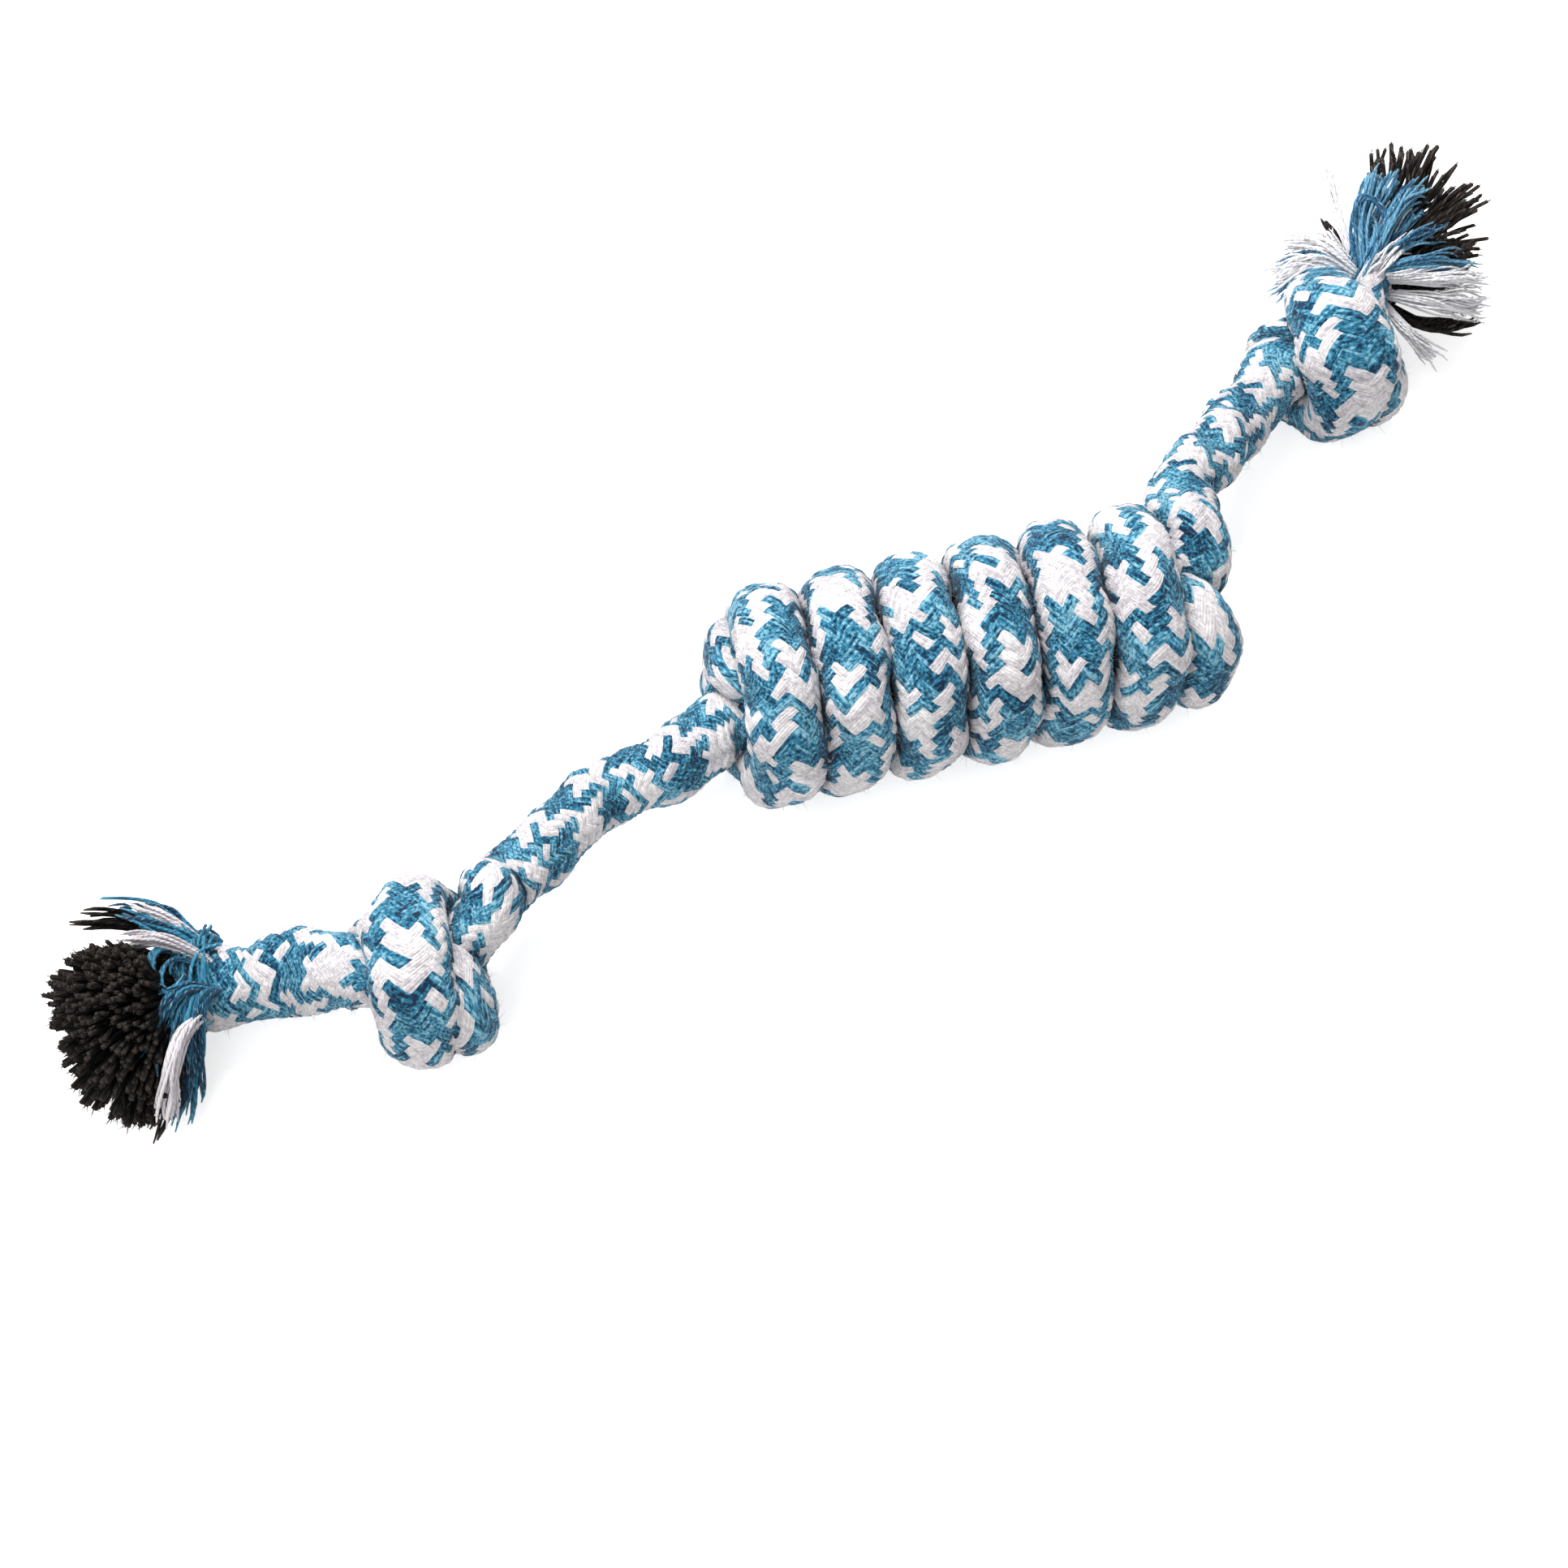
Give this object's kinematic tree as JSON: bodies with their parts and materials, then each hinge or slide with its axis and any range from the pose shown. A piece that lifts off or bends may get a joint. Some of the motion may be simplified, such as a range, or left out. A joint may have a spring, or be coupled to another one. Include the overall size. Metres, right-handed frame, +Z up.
{
  "type": "rope dog toy",
  "caption": "Braided cotton rope toy, wound into a long barrel knot in the middle, with an overhand knot and a frayed tuft of loose yarns near each end.",
  "frame": {"origin": "on the flat underside of the winding's middle turn, where the toy rests", "axes": "+X along the winding's axis towards the higher right end in the picture, +Z up, +Y away from the picture's camera"},
  "size_m": [0.2923, 0.1372, 0.0353],
  "materials": {
    "mixed_cotton": "blue and white cotton yarns braided in a twill, matt",
    "blue_cotton": "loose blue cotton yarn, matt",
    "white_cotton": "loose off-white cotton yarn, matt",
    "dark_cotton": "loose brown-black cotton yarn, matt"
  },
  "bodies": {
    "winding": {"winding": "mixed_cotton"},
    "left_span_1": {"left_span_1_cover": "mixed_cotton", "left_span_1_core": "dark_cotton"},
    "left_span_2": {"left_span_2_cover": "mixed_cotton", "left_span_2_core": "dark_cotton"},
    "left_knot": {"left_knot": "mixed_cotton"},
    "left_tail": {"left_tail_cover": "mixed_cotton", "left_tail_core": "dark_cotton"},
    "left_tuft": {"left_core_fan": "dark_cotton", "left_blue_lock_up": "blue_cotton", "left_white_lock_up": "white_cotton", "left_blue_lock_down": "blue_cotton", "left_white_lock_down": "white_cotton"},
    "right_span_1": {"right_span_1_cover": "mixed_cotton", "right_span_1_core": "dark_cotton"},
    "right_span_2": {"right_span_2_cover": "mixed_cotton", "right_span_2_core": "dark_cotton"},
    "right_knot": {"right_knot": "mixed_cotton"},
    "right_tuft": {"right_core_fan": "dark_cotton", "right_blue_lock_up": "blue_cotton", "right_blue_lock_right": "blue_cotton", "right_white_lock_right": "white_cotton", "right_white_lock_left": "white_cotton"}
  },
  "joints": [
    {"name": "left_span_1_bend", "type": "hinge", "parent": "winding", "child": "left_span_1", "pos_m": [-0.0615, -0.0092, 0.013], "axis": [0, 0, 1], "range_deg": [-30, 30]},
    {"name": "left_span_2_bend", "type": "hinge", "parent": "left_span_1", "child": "left_span_2", "pos_m": [-0.0705, -0.0138, 0.013], "axis": [0.493, -0.87, 0], "range_deg": [-30, 30]},
    {"name": "left_knot_bend", "type": "hinge", "parent": "left_span_2", "child": "left_knot", "pos_m": [-0.0793, -0.0193, 0.014], "axis": [0, 0, 1], "range_deg": [-30, 30]},
    {"name": "left_tail_bend", "type": "hinge", "parent": "left_knot", "child": "left_tail", "pos_m": [-0.1235, -0.0284, 0.01], "axis": [-0.3159, -0.9488, 0], "range_deg": [-30, 30]},
    {"name": "left_tuft_bend", "type": "hinge", "parent": "left_tail", "child": "left_tuft", "pos_m": [-0.1355, -0.025, 0.0082], "axis": [0, 0, 1], "range_deg": [-30, 15]},
    {"name": "right_span_1_bend", "type": "hinge", "parent": "winding", "child": "right_span_1", "pos_m": [0.054, 0.024, 0.0175], "axis": [0, 0, 1], "range_deg": [-25, 30]},
    {"name": "right_span_2_bend", "type": "hinge", "parent": "right_span_1", "child": "right_span_2", "pos_m": [0.0603, 0.0305, 0.0147], "axis": [0.7101, -0.7041, 0], "range_deg": [-30, 30]},
    {"name": "right_knot_bend", "type": "hinge", "parent": "right_span_2", "child": "right_knot", "pos_m": [0.0663, 0.0364, 0.0123], "axis": [0, 0, 1], "range_deg": [-30, 30]},
    {"name": "right_tuft_bend", "type": "hinge", "parent": "right_knot", "child": "right_tuft", "pos_m": [0.1016, 0.0625, 0.017], "axis": [0.6198, -0.7848, 0], "range_deg": [-30, 30]}
  ]
}
